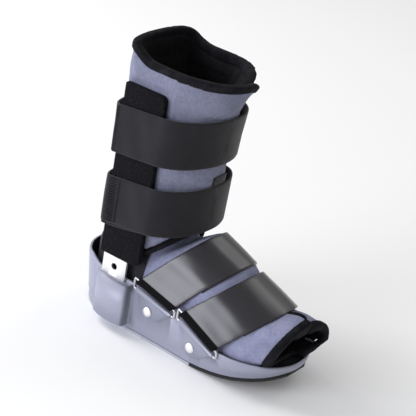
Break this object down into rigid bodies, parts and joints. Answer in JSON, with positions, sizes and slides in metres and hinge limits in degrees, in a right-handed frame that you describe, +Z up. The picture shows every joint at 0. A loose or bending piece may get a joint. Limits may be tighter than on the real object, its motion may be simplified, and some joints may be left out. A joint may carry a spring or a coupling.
{
  "type": "medical walking boot",
  "caption": "Open-toed medical walking boot: a moulded rocker base with side uprights, a padded leg and foot wrap, and webbing and coated straps.",
  "frame": {"origin": "on the flat underside of the tread, on the sole's middle line, 105 mm forward of the back of the heel", "axes": "+Z up along the leg, -Y forwards to the toe, +X to the wearer's left"},
  "size_m": [0.125, 0.2619, 0.3],
  "materials": {
    "shell": "satin blue-grey moulded plastic",
    "pale_rubber": "matte light grey foam rubber",
    "black_rubber": "matte black rubber",
    "lining": "black fabric over thin foam",
    "padding": "lilac-grey brushed loop fabric over foam",
    "binding": "black stretch binding tape",
    "loop_fabric": "black fuzzy loop fabric",
    "webbing": "dark grey brushed strap fabric",
    "coated_strap": "dark grey coated strap with a soft sheen",
    "steel": "bright satin metal"
  },
  "bodies": {
    "root": {"base_shell": "shell", "tread_heel": "pale_rubber", "tread_toe": "black_rubber", "insole": "lining", "liner_foot": "padding", "binding_toe_near": "binding", "binding_toe_far": "binding", "liner_shaft": "padding", "binding_top": "binding", "binding_hem": "binding", "strap_calf": "webbing", "strap_ankle": "webbing", "strap_tab": "webbing", "strap_instep": "coated_strap", "strap_forefoot": "coated_strap", "upright_right": "steel", "upright_left": "steel", "sleeve_right": "loop_fabric", "sleeve_left": "loop_fabric", "loop_instep_right": "steel", "loop_instep_left": "steel", "loop_forefoot_right": "steel", "loop_forefoot_left": "steel", "rivet_instep_right": "steel", "rivet_instep_left": "steel", "rivet_forefoot_right": "steel", "rivet_forefoot_left": "steel"}
  },
  "joints": []
}
